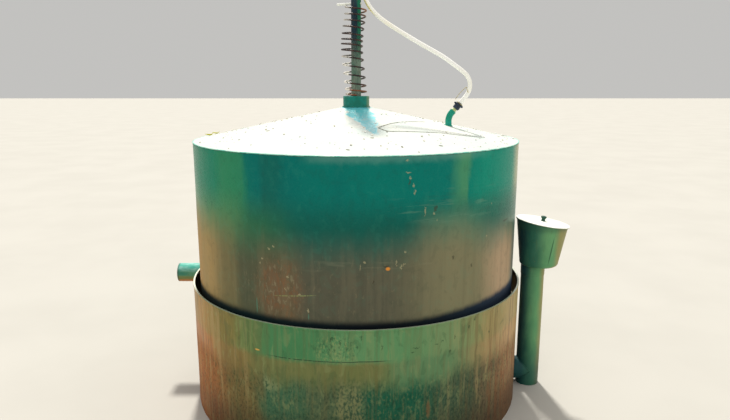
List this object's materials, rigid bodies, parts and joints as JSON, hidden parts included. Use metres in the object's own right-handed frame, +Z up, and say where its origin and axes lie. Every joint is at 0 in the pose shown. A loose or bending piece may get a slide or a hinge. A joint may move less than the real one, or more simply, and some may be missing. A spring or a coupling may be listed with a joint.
{
  "type": "floating-drum biogas digester",
  "caption": "Open steel tank with a floating gas holder on a central guide pipe, a coil spring over it, a feed hopper, a slurry outlet and a gas hose.",
  "frame": {"origin": "on the tank's axis at ground level, the underside of the tank's floor", "axes": "+Z up along the guide pipe, +X towards the feed hopper, -Y towards the viewer"},
  "size_m": [1.8311, 1.46, 1.8233],
  "materials": {
    "drum_paint": "gloss green enamel, stained brown below the middle",
    "cone_paint": "green enamel bleached chalky by the sun, with leaf litter",
    "tank_paint": "green enamel, mottled with rust and slurry stains",
    "outlet_paint": "green enamel, brown underneath",
    "inlet_paint": "green enamel, satin",
    "collar_paint": "green enamel, gloss",
    "guide_paint": "green enamel, worn",
    "pale_steel": "pale paint, chalky",
    "rusty_steel": "rusty steel wire",
    "hose_plastic": "cream hose, yellowed",
    "dark_plastic": "dark plastic",
    "pale_plastic": "pale plastic"
  },
  "bodies": {
    "tank": {"tank_floor": "tank_paint", "tank_wall_back_1": "tank_paint", "tank_wall_back_2": "tank_paint", "tank_wall_back_3": "tank_paint", "tank_wall_front_1": "tank_paint", "tank_wall_front_2": "tank_paint", "tank_wall_front_3": "tank_paint", "outlet_plate": "tank_paint", "inlet_plate": "tank_paint", "outlet_pipe": "outlet_paint", "inlet_branch": "inlet_paint", "inlet_pipe": "inlet_paint", "feed_hopper": "inlet_paint", "guide_foot": "guide_paint", "guide_pipe": "guide_paint", "stop_pin": "pale_steel", "guide_cap": "guide_paint", "hose_tie": "rusty_steel", "gas_hose": "hose_plastic", "hose_fitting": "dark_plastic"},
    "gas_holder": {"drum_wall_1": "drum_paint", "drum_wall_2": "drum_paint", "drum_wall_3": "drum_paint", "drum_wall_4": "drum_paint", "drum_wall_5": "drum_paint", "drum_wall_6": "drum_paint", "drum_cone_1": "cone_paint", "drum_cone_2": "cone_paint", "drum_cone_3": "cone_paint", "drum_cone_4": "cone_paint", "drum_cone_5": "cone_paint", "drum_cone_6": "cone_paint", "centre_sleeve": "collar_paint", "collar_plate": "collar_paint", "sleeve_foot": "collar_paint", "drum_brace_1": "collar_paint", "drum_brace_2": "collar_paint", "drum_brace_3": "collar_paint", "drum_brace_4": "collar_paint", "gas_outlet": "collar_paint", "hose_nipple": "pale_plastic", "hose_clamp": "dark_plastic", "coil_spring": "rusty_steel"},
    "lid": {"hopper_lid": "pale_steel", "lid_knob": "inlet_paint"}
  },
  "joints": [
    {"name": "gas_holder_slide", "type": "slide", "parent": "tank", "child": "gas_holder", "axis": [0, 0, 1], "range_m": [-0.15, 0.12], "deforming": ["coil_spring", "gas_hose"]},
    {"name": "lid_lift", "type": "slide", "parent": "tank", "child": "lid", "axis": [0.1564, 0, 0.9877], "range_m": [0, 0.15]}
  ]
}
